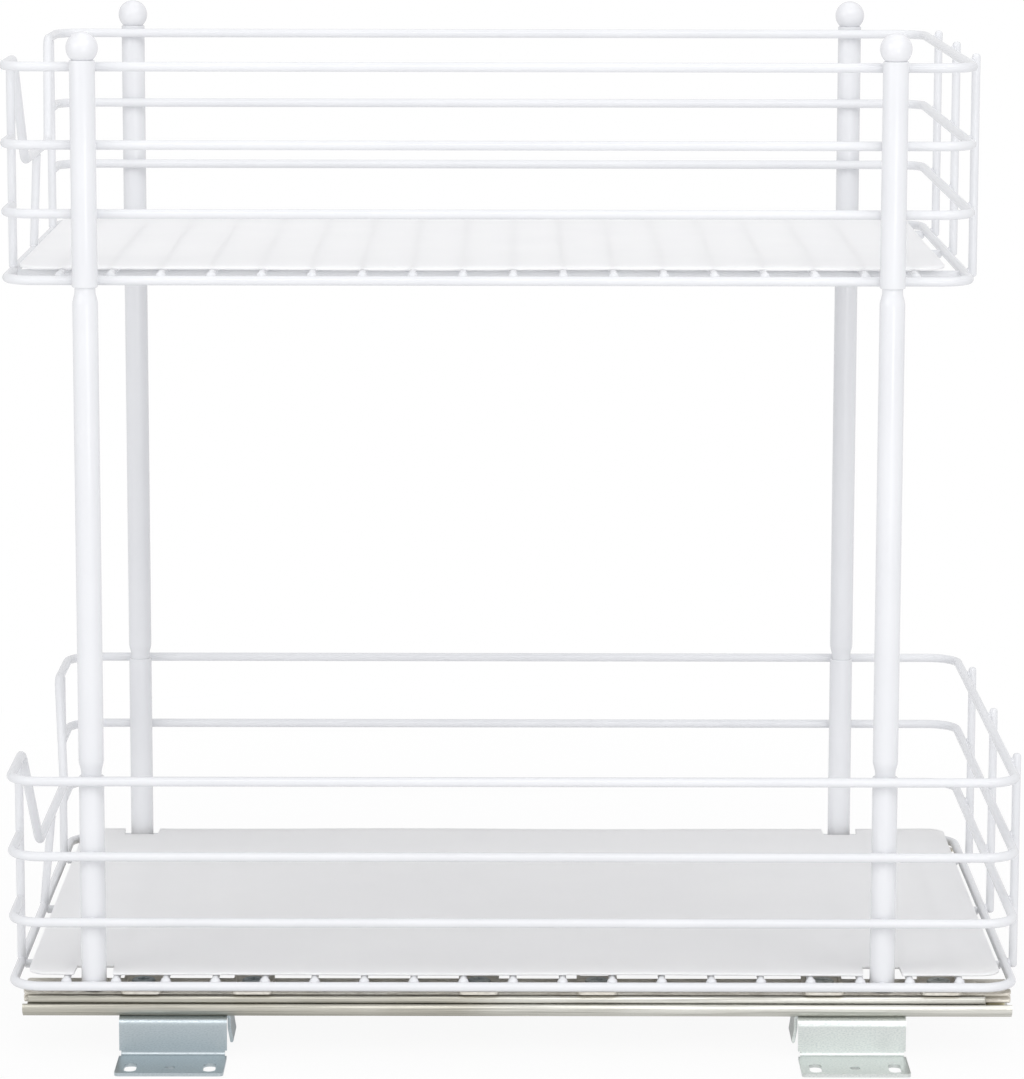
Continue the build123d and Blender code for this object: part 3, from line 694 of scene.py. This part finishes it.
class ORGANIZER_OT_uprights(Operator):
    """Makes the upright wires at the front and the rear of each basket"""

    bl_idname = "organizer.uprights"
    bl_label = "Uprights"

    def execute(self, context):
        coat = finish("coat")
        for tier in tiers:
            spot, lean, _ = basket_plan(tier)
            front, wire_y, wire_r = spot["front_x"], spot["wire_y"], spot["upright_r"]
            foot, head = spot["front_z"]
            shells = [
                straight((front, y, foot), (front, y, head), wire_r, sheared_round)
                for y in (-wire_y, wire_y)]
            # The middle one leans with the dip, from the top of the rim to under the rail.
            rise = spot["dip_z"] - spot["rim_z"]
            share = spot["rail_r"] / rise
            shells.append(straight(
                (front + lean * share, 0, spot["rim_z"] + rise * share),
                (front + lean * (1 - share), 0, spot["rim_z"] + rise * (1 - share)),
                wire_r, sheared_round))
            make_piece(
                f"{tier}_front_upright_wires", shells, coat, "basket", [f"{tier}_front_uprights"])
            rear, (foot, head) = spot["rear_wire_x"], spot["rear_z"]
            shells = [
                straight((rear, y, foot), (rear, y, head), wire_r, dome_share * wire_r)
                for y in (-wire_y, 0, wire_y)]
            make_piece(
                f"{tier}_rear_upright_wires", shells, coat, "basket", [f"{tier}_rear_uprights"])
        return {"FINISHED"}


def cross_places(spot, count):
    """X of each cross wire, spread evenly from the first to the last."""
    return np.linspace(*spot["cross_x"], count)


class ORGANIZER_OT_floors(Operator):
    """Makes the floor wires and cross wires of each basket"""

    bl_idname = "organizer.floors"
    bl_label = "Floor grids"

    def execute(self, context):
        coat = finish("coat")
        for tier in tiers:
            spot, _, count = basket_plan(tier)
            (front, rear), wire_y, floor_z = spot["floor_x"], spot["wire_y"], spot["floor_z"]
            shells = [
                straight((front, y, floor_z), (rear, y, floor_z), spot["upright_r"], sheared_round)
                for y in (-wire_y, 0, wire_y)]
            make_piece(f"{tier}_floor_wire_set", shells, coat, "basket", [f"{tier}_floor_wires"])
            cross_y, cross_z, cross_r = spot["cross_y"], spot["cross_z"], spot["cross_r"]
            shells = [
                straight(
                    (x, -cross_y, cross_z), (x, cross_y, cross_z), cross_r, cross_round, facets=16)
                for x in cross_places(spot, count)]
            make_piece(f"{tier}_cross_wire_set", shells, coat, "basket", [f"{tier}_cross_wires"])
        return {"FINISHED"}


def post_faces(tier):
    """X and Y where a basket's rails touch the front and the rear post, without the side's sign."""
    part, face = ("stub", 1) if tier == "lower" else ("sleeve", 0)
    nodes = [f"far_{end}_{part}" for end in ends]
    return [(centre_of(node)[0], corners(node)[face][1]) for node in nodes]


class ORGANIZER_OT_welds(Operator):
    """Makes the coated weld beads where the wires and posts meet"""

    bl_idname = "organizer.welds"
    bl_label = "Welds"

    def execute(self, context):
        size = context.scene.organizer_wires.weld_size
        for tier in tiers:
            shells = []
            for kind, centres in self.joints(tier).items():
                shells += beads(centres, size * np.array(bead_shares[kind]))
            make_piece(f"{tier}_weld_beads", shells, finish("coat"), "basket")
        return {"FINISHED"}

    def joints(self, tier):
        """The centres of the beads of each kind in one basket."""
        spot, lean, count = basket_plan(tier)
        rail_r, wire_r, wire_y = spot["rail_r"], spot["upright_r"], spot["wire_y"]
        front, rim_z, floor_z = spot["front_x"], spot["rim_z"], spot["floor_z"]
        crosses = cross_places(spot, count)
        rows = (-wire_y, 0, wire_y)
        foot_y = spot["cross_y"] - foot_inset
        foot_z = rim_z + foot_height_share * rail_r
        rail_z = [rim_z, *spot["level_z"], spot["top_z"]]
        uprights = [(front, side * wire_y, z) for side in both for z in spot["front_z"]]
        uprights += [(front, 0, spot["front_z"][0]), (front + lean, 0, spot["dip_z"] - rail_r)]
        return {
            "crossing": [(x, y, floor_z + wire_r) for x in crosses for y in rows],
            "cross foot": [(x, side * foot_y, foot_z) for x in crosses for side in both],
            "floor butt": [(x, y, floor_z) for x in spot["floor_x"] for y in rows],
            "rail end": [
                (front, side * (wire_y + wire_r), z) for z in spot["level_z"] for side in both],
            "front upright": uprights,
            "rear upright": [(spot["rear_x"] + rail_r, y, z) for y in rows for z in rail_z],
            "post": [
                (x, side * y, z) for x, y in post_faces(tier) for side in both for z in rail_z],
        }


def pipe_profile(low, high, outer, steps=6):
    """Outline of a tube's wall, its outer edges rounded by a lip l.

    The foot's points are (outer - l + l sin a, low + l - l cos a) and the head's are
    (outer - l + l cos a, high - l + l sin a), a from 0 to a right angle.
    """
    turn = np.linspace(0, math.pi / 2, steps)
    core = outer - tube_lip
    foot = np.stack([core + tube_lip * np.sin(turn), low + tube_lip - tube_lip * np.cos(turn)], -1)
    head = np.stack([core + tube_lip * np.cos(turn), high - tube_lip + tube_lip * np.sin(turn)], -1)
    inner = outer - tube_wall
    return np.concatenate([[(inner, low)], foot, head, [(inner, high)]])


def leg_profile(low, high, lower_joint, upper_joint, outer, neck, steps=13):
    """Outline of a leg's wall, with a neck at each end that is pushed into a tube.

    Past a joint the radius is neck + (outer - neck) (1 - cos a) / 2, with a from 0 to a half
    turn over the swage. The outline closes on the straight bore between the two ends.
    """
    swell = neck + (outer - neck) * ((1 - np.cos(np.linspace(0, math.pi, steps))) / 2)
    rise = np.linspace(swage_start, swage_end, steps)
    lower_swage = np.stack([swell, lower_joint + rise], -1)
    upper_swage = np.stack([swell[::-1], upper_joint - rise[::-1]], -1)
    bore = neck - tube_wall
    return np.concatenate([
        [(bore, low), (neck, low)], lower_swage, upper_swage, [(neck, high), (bore, high)]])


def cap_profile(foot, top, ball, plug, steps=30):
    """Outline of a ball cap: a plug, then (r cos a, middle + r sin a) from it to the crown."""
    start = -math.acos(plug / ball)
    tilt = np.linspace(start, math.pi / 2 - crown_angle, steps)
    globe = np.stack([ball * np.cos(tilt), top - ball + ball * np.sin(tilt)], -1)
    return np.concatenate([[(plug, foot)], globe])


class ORGANIZER_OT_posts(Operator):
    """Makes the stubs, swaged legs, sleeves and ball caps of the four posts"""

    bl_idname = "organizer.posts"
    bl_label = "Posts"

    def execute(self, context):
        for side in sides:
            for end in ends:
                self.post(f"{side}_{end}")
        return {"FINISHED"}

    def post(self, name):
        """One post: a stub and a sleeve, the leg pushed into both, and the cap in the sleeve."""
        stub_low, stub_high = corners(f"{name}_stub")
        sleeve_low, sleeve_high = corners(f"{name}_sleeve")
        leg_low, leg_high = corners(f"{name}_leg")
        cap_low, cap_high = corners(f"{name}_ball_cap")
        centre = centre_of(f"{name}_stub")
        outer = (stub_high[0] - stub_low[0]) / 2
        neck = outer - tube_wall - insert_gap
        outlines = {
            "stub": pipe_profile(stub_low[2], stub_high[2], outer),
            "sleeve": pipe_profile(sleeve_low[2], sleeve_high[2], outer),
            "leg": leg_profile(leg_low[2], leg_high[2], stub_high[2], sleeve_low[2], outer, neck),
        }
        for part, outline in outlines.items():
            shell = turned(outline, centre)
            make_piece(
                f"{name}_{part}_tube", [shell], finish("coat"), "basket", [f"{name}_{part}"])
        ball = (cap_high[0] - cap_low[0]) / 2
        outline = cap_profile(cap_low[2], cap_high[2], ball, neck)
        shell = turned(outline, centre, closed_profile=False)
        make_piece(f"{name}_ball", [shell], finish("cap"), "basket", [f"{name}_ball_cap"])


def half_widths(stations, low, high, radius, notches, notch_half, notch_y):
    """Half width of the sheet at each station: the full one less the corner arcs and the notches.

    A corner arc takes r - sqrt(r^2 - (r - d)^2) off, d from the end; a notch cuts back to notch_y.
    """
    from_end = np.clip(np.minimum(stations - low[0], high[0] - stations), 0, radius)
    half = (high[1] - low[1]) / 2 - radius + np.sqrt(radius ** 2 - (radius - from_end) ** 2)
    for place in notches:
        half = np.where(abs(stations - place) < notch_half, notch_y, half)
    return half


def sheet_stations(low, high, radius, notches, notch_half, along=90, arc_steps=9):
    """X of the rings of a sheet: even ones, more on its corner arcs and two at a notch's side.

    Those on an arc are r (1 - cos a) from the sheet's end, a from 0 to a right angle.
    """
    arcs = radius * (1 - np.cos(np.linspace(0, math.pi / 2, arc_steps)))
    cuts = [
        place + side * (notch_half + nudge)
        for place in notches for side in both for nudge in (-notch_step, notch_step)]
    run = np.linspace(low[0] + radius, high[0] - radius, along)
    return np.unique(np.concatenate([run, low[0] + arcs, high[0] - arcs, cuts]))


def sheet_shell(low, high, notches, notch_y, droop, wires, rows=41, bends=5):
    """A thin sheet as a flat ring carried along X: (x, middle + v h(x), z + lift(x, y)).

    The ring runs over the underside, round one long edge, back over the top and round the
    other. The lift is a ripple, 1 plus a sine along X times a sine along Y and the slant, and
    a curl, the squares of x and y as shares of the far rear corner's. The droop taken off it
    grows with the square of the way over its reach before the near edge.
    """
    radius, ripple, notch_half = wires.liner_corner, wires.liner_ripple, wires.notch_width / 2
    stations = sheet_stations(low, high, radius, notches, notch_half)
    half = half_widths(stations, low, high, radius, notches, notch_half, notch_y)
    across = np.linspace(-1, 1, rows)
    bulge = np.sin(np.linspace(-math.pi / 2, math.pi / 2, bends + 2))[1:-1]
    rise = high[2] - low[2]
    flat = np.zeros(rows)
    flat[[0, -1]] = edge_round_share * rise
    inset = edge_round_share * rise * (1 - np.sqrt(1 - bulge ** 2))
    share = np.concatenate([across, np.ones(bends), across[::-1], -np.ones(bends)])
    pull = np.concatenate([flat, inset, flat, inset[::-1]])
    level = rise * np.concatenate([
        np.zeros(rows), (1 + bulge) / 2, np.ones(rows), (1 - bulge) / 2])
    x = np.repeat(stations[:, None], len(share), 1)
    y = (low[1] + high[1]) / 2 + share * half[:, None] - np.sign(share) * pull
    lift = ripple * (1 + np.sin(x / wave_x) * np.sin(y / wave_y + x / wave_slant))
    curl = np.clip(x / high[0], 0, 1) ** 2 * np.clip(y / high[1], 0, 1) ** 2
    hang = np.clip(1 - (y - low[1]) / droop_reach, 0, 1) ** 2
    z = low[2] + level + lift + curl_share * ripple * curl - droop * hang
    return grid(np.stack([x, y, z], -1), False, True)


class ORGANIZER_OT_liners(Operator):
    """Makes the two plastic liners, thin sheets that lie on the cross wires"""

    bl_idname = "organizer.liners"
    bl_label = "Liners"

    def execute(self, context):
        wires = context.scene.organizer_wires
        posts = [centre_of(f"far_{end}_stub")[0] for end in ends]
        notch_y = corners("far_front_stub")[0][1] - wires.notch_gap
        # Only the lower liner has notches, and only the upper one is shifted and droops.
        self.liner("lower", 0, posts, notch_y, 0, wires)
        self.liner("upper", wires.liner_shift, [], notch_y, wires.liner_droop, wires)
        return {"FINISHED"}

    def liner(self, tier, shift, notches, notch_y, droop, wires):
        """One liner, its near side moved out by the shift."""
        node = f"{tier}_liner"
        low, high = corners(node)
        low[1] -= shift
        shell = sheet_shell(low, high, notches, notch_y, droop, wires)
        make_piece(f"{node}_sheet", [shell], finish("liner"), node, [node], sharp=60)


class ORGANIZER_OT_slides(Operator):
    """Finishes the rails, cages, balls, bumpers, tabs and screws of the slides"""

    bl_idname = "organizer.slides"
    bl_label = "Slides"

    def execute(self, context):
        kinds = {
            "rail": ("outer_rail", "middle_rail", "outer_cage", "inner_cage"),
            "strip": ("inner_rail", "tabs"),
            "ball": ("outer_balls", "inner_balls"),
            "bracket": ("screws",),
            "bumper": ("bumper",),
        }
        for side in sides:
            for kind, parts in kinds.items():
                for part in parts:
                    dress(f"{side}_{part}", kind)
        return {"FINISHED"}


class ORGANIZER_OT_brackets(Operator):
    """Finishes the four mounting brackets and their rivets"""

    bl_idname = "organizer.brackets"
    bl_label = "Brackets"

    def execute(self, context):
        for side in sides:
            for end in ends:
                dress(f"{side}_{end}_bracket", "bracket")
        dress("bracket_rivets", "bracket")
        return {"FINISHED"}


def seen_directly(tree):
    """1 for rays from the camera, half for rays off gloss, and 0 for light that reaches a piece."""
    rays = add_node(tree, "ShaderNodeLightPath")
    every = add_node(tree, "ShaderNodeMath", {
        0: rays.outputs["Is Glossy Ray"], 1: 0.5, 2: rays.outputs["Is Camera Ray"]},
        operation="MULTIPLY_ADD")
    return every.outputs["Value"]


class ORGANIZER_OT_stage(Operator):
    """Makes the pale floor, the white room, the lamps and the camera"""

    bl_idname = "organizer.stage"
    bl_label = "Stage"

    def execute(self, context):
        studio = context.scene.organizer_studio
        self.floor()
        self.room(studio.room_light)
        middle = (np.array(cad_box[0]) + np.array(cad_box[1])) / 2
        for name, (place, size) in softboxes.items():
            self.lamp(f"{name}_softbox", place, size, getattr(studio, f"{name}_power"), middle)
        self.camera(studio)
        context.scene.view_settings.view_transform = "Standard"
        return {"FINISHED"}

    def floor(self):
        """A wide sheet just under the brackets: white, with the object's soft shadow near it."""
        reach = 6.0
        gap = 0.1 * mm
        level = cad_box[0][2] - gap
        mesh = bpy.data.meshes.new("studio_floor")
        mesh.from_pydata(
            [(-reach, -reach, level), (reach, -reach, level), (reach, reach, level),
             (-reach, reach, level)], [], [(0, 1, 2, 3)])
        made, tree = empty_material("pale_studio_paper")
        place = add_node(tree, "ShaderNodeTexCoord").outputs["Object"]
        away = add_node(tree, "ShaderNodeVectorMath", {0: place}, operation="LENGTH")
        # A little of the paper's own shade shows near the object and fades out further away.
        fade = add_node(tree, "ShaderNodeMapRange", {
            "Value": away.outputs["Value"], "From Min": 0.2, "From Max": 0.7,
            "To Min": 0.93, "To Max": 1.0}, interpolation_type="SMOOTHSTEP")
        paper = add_node(tree, "ShaderNodeBsdfDiffuse", {"Color": colour("F4F4F4")})
        glow = add_node(tree, "ShaderNodeEmission", {"Color": (1, 1, 1, 1), "Strength": 1.0})
        share = add_node(tree, "ShaderNodeMath", {
            0: seen_directly(tree), 1: fade.outputs["Result"]}, operation="MULTIPLY")
        mixed = add_node(tree, "ShaderNodeMixShader", {
            0: share.outputs["Value"], 1: paper.outputs["BSDF"], 2: glow.outputs["Emission"]})
        add_node(tree, "ShaderNodeOutputMaterial", {"Surface": mixed.outputs["Shader"]})
        mesh.materials.append(made)
        floor = bpy.data.objects.new("studio_floor", mesh)
        bpy.context.scene.collection.objects.link(floor)

    def room(self, strength):
        """An even white room, plain white where the camera sees it."""
        world = bpy.data.worlds.new("white_room")
        world.use_nodes = True
        tree = world.node_tree
        tree.nodes.clear()
        soft = add_node(
            tree, "ShaderNodeBackground", {"Color": colour("F8F8FA"), "Strength": strength})
        plain = add_node(tree, "ShaderNodeBackground", {"Color": (1, 1, 1, 1), "Strength": 1.0})
        mixed = add_node(tree, "ShaderNodeMixShader", {
            0: seen_directly(tree), 1: soft.outputs["Background"],
            2: plain.outputs["Background"]})
        add_node(tree, "ShaderNodeOutputWorld", {"Surface": mixed.outputs["Shader"]})
        bpy.context.scene.world = world

    def lamp(self, name, place, size, power, target):
        """A softbox of that width and height that looks back along its own Z at the target."""
        light = bpy.data.lights.new(name, "AREA")
        light.shape = "RECTANGLE"
        light.size, light.size_y = size
        light.energy = power
        lamp = bpy.data.objects.new(name, light)
        back = unit(np.array(place) - target)
        right = unit(np.cross([0, 0, 1.0], back))
        turn = Matrix(np.stack([right, np.cross(back, right), back], -1).tolist()).to_4x4()
        lamp.matrix_world = Matrix.Translation(place) @ turn
        bpy.context.scene.collection.objects.link(lamp)

    def camera(self, studio):
        """Looks along +Y, turned about Z, tilted down and rolled about its own axis."""
        data = bpy.data.cameras.new("photo_camera")
        data.sensor_fit = "HORIZONTAL"
        data.sensor_width = 36
        data.lens = studio.lens
        data.clip_end = 50
        turn = Matrix.Rotation(studio.camera_turn, 3, "Z")
        tilt = Matrix.Rotation(math.pi / 2 - studio.camera_tilt, 3, "X")
        roll = Matrix.Rotation(studio.camera_roll, 3, "Z")
        camera = bpy.data.objects.new("photo_camera", data)
        camera.matrix_world = (
            Matrix.Translation(studio.camera_place) @ (turn @ tilt @ roll).to_4x4())
        bpy.context.scene.collection.objects.link(camera)
        bpy.context.scene.camera = camera


operators = (
    ORGANIZER_OT_rails,
    ORGANIZER_OT_uprights,
    ORGANIZER_OT_floors,
    ORGANIZER_OT_welds,
    ORGANIZER_OT_posts,
    ORGANIZER_OT_liners,
    ORGANIZER_OT_slides,
    ORGANIZER_OT_brackets,
    ORGANIZER_OT_stage,
)


class ORGANIZER_PT_panel(Panel):
    """Sizes, colours and steps of the organizer"""

    bl_idname = "ORGANIZER_PT_panel"
    bl_label = "Pull-out Organizer"
    bl_space_type = "VIEW_3D"
    bl_region_type = "UI"
    bl_category = "Organizer"

    def draw(self, context):
        layout = self.layout
        scene = context.scene
        for settings in (scene.organizer_wires, scene.organizer_finish, scene.organizer_studio):
            for name in settings.__annotations__:
                layout.prop(settings, name)
        for operator in operators:
            layout.operator(operator.bl_idname)


settings_types = (WireSettings, FinishSettings, StudioSettings)


def register():
    """Registers the classes and hangs their settings on the scene."""
    for kind in (*settings_types, *operators, ORGANIZER_PT_panel):
        bpy.utils.register_class(kind)
    bpy.types.Scene.organizer_wires = PointerProperty(type=WireSettings)
    bpy.types.Scene.organizer_finish = PointerProperty(type=FinishSettings)
    bpy.types.Scene.organizer_studio = PointerProperty(type=StudioSettings)


def unregister():
    """Takes the settings off the scene and removes the classes."""
    del bpy.types.Scene.organizer_studio
    del bpy.types.Scene.organizer_finish
    del bpy.types.Scene.organizer_wires
    for kind in reversed((*settings_types, *operators, ORGANIZER_PT_panel)):
        bpy.utils.unregister_class(kind)


def main():
    """Makes every piece and the stage in order."""
    register()
    bpy.ops.organizer.rails()
    bpy.ops.organizer.uprights()
    bpy.ops.organizer.floors()
    bpy.ops.organizer.welds()
    bpy.ops.organizer.posts()
    bpy.ops.organizer.liners()
    bpy.ops.organizer.slides()
    bpy.ops.organizer.brackets()
    bpy.ops.organizer.stage()


if __name__ == "__main__":
    main()
